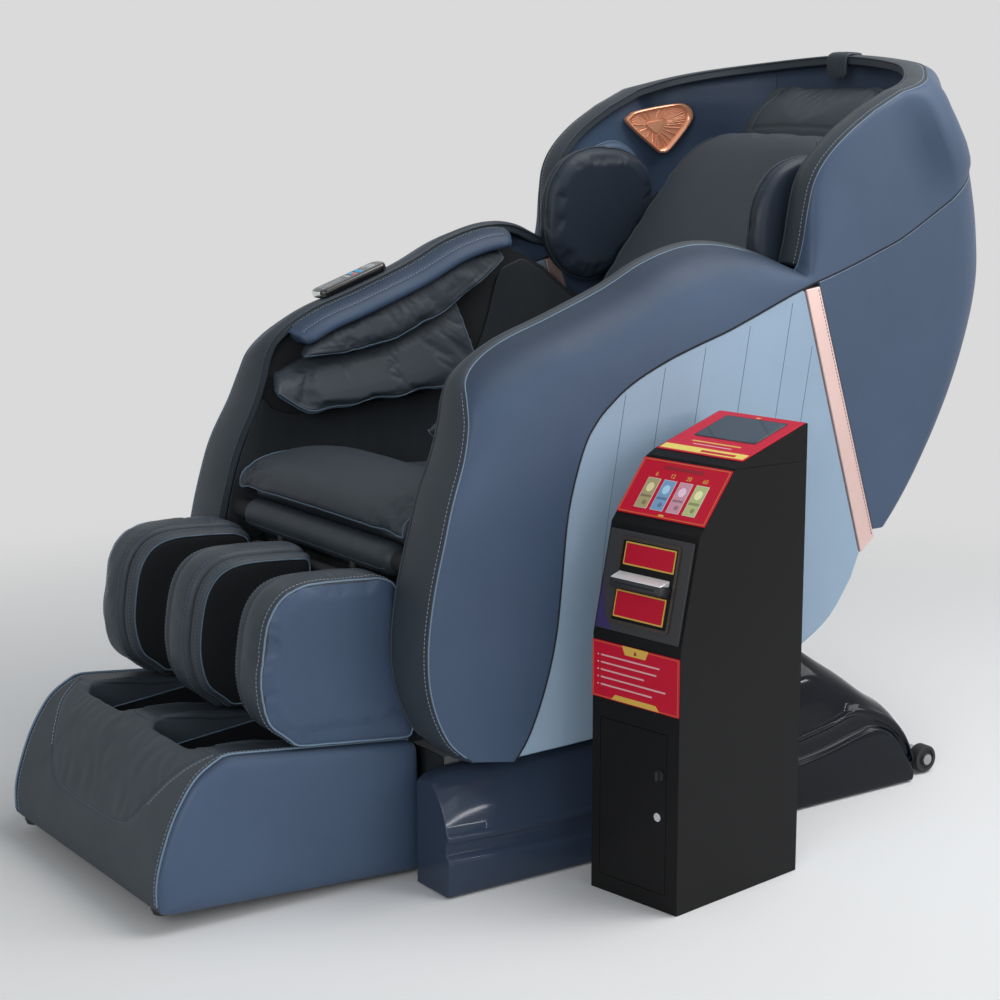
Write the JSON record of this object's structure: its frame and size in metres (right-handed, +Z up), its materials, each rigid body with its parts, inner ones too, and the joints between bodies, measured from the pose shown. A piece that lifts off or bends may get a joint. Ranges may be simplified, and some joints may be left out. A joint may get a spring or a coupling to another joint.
{
  "type": "massage chair",
  "caption": "Reclining zero-gravity massage chair with a hood, calf and foot wells, and a free-standing payment kiosk beside it.",
  "frame": {"origin": "centre of the chair base on the floor, in the middle plane of the chair", "axes": "+Z up, -Y the front (footrest side), +Y the back, +X the side of the sitter's left hand, where the kiosk stands"},
  "size_m": [1.0219, 1.632, 1.2437],
  "materials": {
    "leather_slate": "soft satin leatherette with stitched seams",
    "leather_charcoal": "soft satin leatherette",
    "panel_mist": "pale blue covering with fine vertical pleat lines",
    "gloss_navy": "high gloss moulding",
    "paint_black": "satin powder coat",
    "plastic_black": "fine satin",
    "frame_board": "dark covered plywood",
    "rose_gold": "brushed rose gold",
    "speaker_copper": "metallised copper",
    "steel": "plain steel",
    "rubber": "matt rubber",
    "panel_red": "printed plate",
    "screen": "dark glass-like plate"
  },
  "bodies": {
    "base": {"base_frame": "steel", "base_cover_left": "gloss_navy", "base_cover_right": "gloss_navy", "kiosk_cabinet": "paint_black", "kiosk_head": "paint_black", "kiosk_screen": "screen", "price_panel": "panel_red", "notice_panel": "panel_red", "note_acceptor": "plastic_black"},
    "capsule": {"seat_frame": "steel", "hood_back": "leather_slate", "hood_rim": "leather_charcoal", "back_cover": "leather_slate", "seat_cushion": "leather_slate", "seat_apron": "leather_slate", "back_cushion": "leather_slate", "head_cushion": "leather_slate", "head_strap": "leather_charcoal", "side_frame_left": "frame_board", "side_frame_right": "frame_board", "side_shell_left": "leather_slate", "side_shell_right": "leather_slate", "side_panel_left": "panel_mist", "side_panel_right": "panel_mist", "trim_strip_left": "rose_gold", "trim_strip_right": "rose_gold", "rear_quarter_left": "leather_slate", "rear_quarter_right": "leather_slate", "arm_band_left": "leather_charcoal", "arm_band_right": "leather_charcoal", "arm_pad_left": "leather_slate", "arm_pad_right": "leather_slate", "arm_airbag_upper_left": "leather_charcoal", "arm_airbag_upper_right": "leather_charcoal", "arm_airbag_lower_left": "leather_charcoal", "arm_airbag_lower_right": "leather_charcoal", "shoulder_airbag_outer_left": "leather_charcoal", "shoulder_airbag_outer_right": "leather_charcoal", "shoulder_airbag_inner_left": "leather_charcoal", "shoulder_airbag_inner_right": "leather_charcoal", "speaker_left": "speaker_copper", "speaker_right": "speaker_copper"},
    "wheel_left": {"wheel_left": "rubber"},
    "wheel_right": {"wheel_right": "rubber"},
    "carriage": {"massage_carriage": "steel"},
    "knead_left": {"massage_head_left": "plastic_black"},
    "knead_right": {"massage_head_right": "plastic_black"},
    "legrest": {"legrest_frame": "steel", "calf_rest": "leather_slate", "calf_fin_left": "leather_slate", "calf_fin_middle": "leather_slate", "calf_fin_right": "leather_slate"},
    "foot_unit": {"foot_rest": "leather_charcoal", "foot_side_left": "leather_slate", "foot_side_right": "leather_slate"},
    "remote": {"remote_control": "plastic_black"},
    "button": {"remote_button": "steel"},
    "door": {"kiosk_door": "paint_black"},
    "lock": {"door_lock": "steel"},
    "latch": {"door_latch": "plastic_black"}
  },
  "joints": [
    {"name": "capsule_tilt", "type": "hinge", "parent": "base", "child": "capsule", "pos_m": [0, 0.2, 0.27], "axis": [-1, 0, 0], "range_deg": [0, 25]},
    {"name": "legrest_lift", "type": "hinge", "parent": "capsule", "child": "legrest", "pos_m": [0, -0.485, 0.485], "axis": [-1, 0, 0], "range_deg": [0, 75]},
    {"name": "foot_extend", "type": "slide", "parent": "legrest", "child": "foot_unit", "axis": [0, 0, -1], "range_m": [0, 0.1]},
    {"name": "carriage_travel", "type": "slide", "parent": "capsule", "child": "carriage", "axis": [0, 0.6184, 0.7859], "range_m": [-0.13, 0.23]},
    {"name": "knead_left", "type": "hinge", "parent": "carriage", "child": "knead_left", "pos_m": [0.075, 0.24869, 0.71747], "axis": [1, 0, 0], "continuous": true},
    {"name": "knead_right", "type": "hinge", "parent": "carriage", "child": "knead_right", "pos_m": [-0.075, 0.24869, 0.71747], "axis": [1, 0, 0], "continuous": true},
    {"name": "wheel_left", "type": "hinge", "parent": "base", "child": "wheel_left", "pos_m": [0.352, 0.515, 0.0255], "axis": [1, 0, 0], "continuous": true},
    {"name": "wheel_right", "type": "hinge", "parent": "base", "child": "wheel_right", "pos_m": [-0.352, 0.515, 0.0255], "axis": [1, 0, 0], "continuous": true},
    {"name": "remote_lift", "type": "slide", "parent": "capsule", "child": "remote", "axis": [0, -0.3256, 0.9455], "range_m": [0, 0.25]},
    {"name": "remote_press", "type": "slide", "parent": "remote", "child": "button", "axis": [0, 0.3256, -0.9455], "range_m": [0, 0.0014], "stiffness_N_per_m": 300, "springref_m": -0.0002},
    {"name": "door_swing", "type": "hinge", "parent": "base", "child": "door", "pos_m": [0.47304, -0.28562, 0.147], "axis": [0, 0, -1], "range_deg": [0, 110]},
    {"name": "lock_turn", "type": "hinge", "parent": "door", "child": "lock", "pos_m": [0.58712, -0.26756, 0.143], "axis": [-0.1564, 0.9877, 0], "range_deg": [0, 90]},
    {"name": "latch_turn", "type": "hinge", "parent": "door", "child": "latch", "pos_m": [0.58959, -0.26716, 0.207], "axis": [-0.1564, 0.9877, 0], "range_deg": [0, 90]}
  ],
  "couplings": [
    {"joint": "foot_extend", "follows": "legrest_lift", "m_per_rad": 0.0763}
  ]
}
